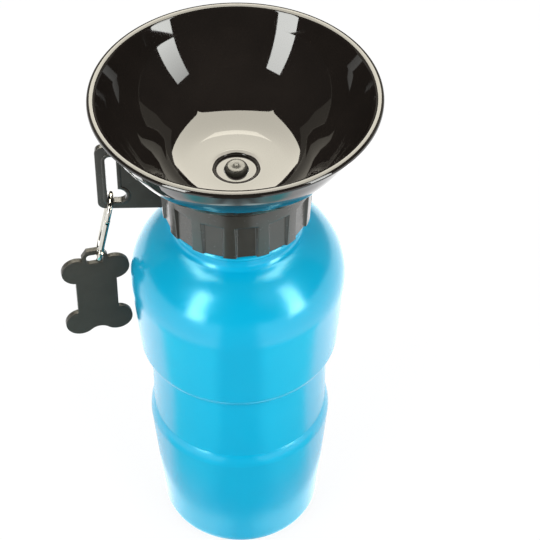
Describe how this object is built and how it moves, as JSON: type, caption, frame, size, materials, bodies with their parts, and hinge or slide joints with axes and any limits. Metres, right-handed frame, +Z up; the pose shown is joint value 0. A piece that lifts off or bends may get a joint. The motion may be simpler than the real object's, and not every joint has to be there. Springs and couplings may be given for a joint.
{
  "type": "travel water bottle for dogs",
  "caption": "Squeeze bottle with a wide drinking bowl on its screw collar, a shut-off valve between them, and a small snap hook with a bone-shaped tag.",
  "frame": {"origin": "on the bottle's axis, in the plane that its foot stands on", "axes": "+Z up along the bottle's axis; the hanger with its hook and tag stands out towards -X; -Y is the side seen from the front"},
  "size_m": [0.1275, 0.112, 0.2323],
  "materials": {
    "blue_plastic": "gloss",
    "charcoal_plastic": "satin",
    "black_plastic": "deep gloss",
    "natural_plastic": "milky gloss",
    "silicone": "soft matte",
    "bright_metal": "polished",
    "spring_steel": "polished"
  },
  "bodies": {
    "bottle": {"bottle_body": "blue_plastic"},
    "cap_core": {"neck_seal": "silicone", "valve_post": "charcoal_plastic", "post_seal": "silicone", "dip_tube": "natural_plastic"},
    "collar": {"screw_collar": "charcoal_plastic"},
    "bowl_carrier": {"bowl_seal": "silicone"},
    "bowl": {"bowl": "black_plastic"},
    "snap_hook": {"hook_frame": "bright_metal", "gate_rivet": "bright_metal"},
    "gate": {"hook_gate": "bright_metal", "gate_spring": "spring_steel"},
    "tag": {"bone_tag": "charcoal_plastic"}
  },
  "joints": [
    {"name": "cap_rise", "type": "slide", "parent": "bottle", "child": "cap_core", "axis": [0, 0, 1], "range_m": [0, 0.2001]},
    {"name": "cap_turn", "type": "hinge", "parent": "cap_core", "child": "collar", "pos_m": [0, 0, 0.185], "axis": [0, 0, 1], "range_deg": [0, 18000]},
    {"name": "bowl_rise", "type": "slide", "parent": "collar", "child": "bowl_carrier", "axis": [0, 0, 1], "range_m": [0, 0.00251]},
    {"name": "bowl_turn", "type": "hinge", "parent": "bowl_carrier", "child": "bowl", "pos_m": [0, 0, 0.195], "axis": [0, 0, 1], "range_deg": [0, 90]},
    {"name": "hook_swing", "type": "hinge", "parent": "collar", "child": "snap_hook", "pos_m": [-0.05031, 0, 0.17522], "axis": [0.9784, 0, -0.2068], "range_deg": [-80, 80]},
    {"name": "gate_open", "type": "hinge", "parent": "snap_hook", "child": "gate", "pos_m": [-0.05434, -0.00535, 0.15614], "axis": [-0.9784, 0, 0.2068], "range_deg": [0, 25], "stiffness_Nm_per_rad": 0.002, "springref_deg": -17.19},
    {"name": "tag_swing", "type": "hinge", "parent": "snap_hook", "child": "tag", "pos_m": [-0.05598, 0, 0.14836], "axis": [0, 1, 0], "range_deg": [0, 60]}
  ],
  "couplings": [
    {"joint": "cap_rise", "follows": "cap_turn", "m_per_rad": 0.00063662},
    {"joint": "bowl_rise", "follows": "bowl_turn", "m_per_rad": 0.0015915}
  ]
}
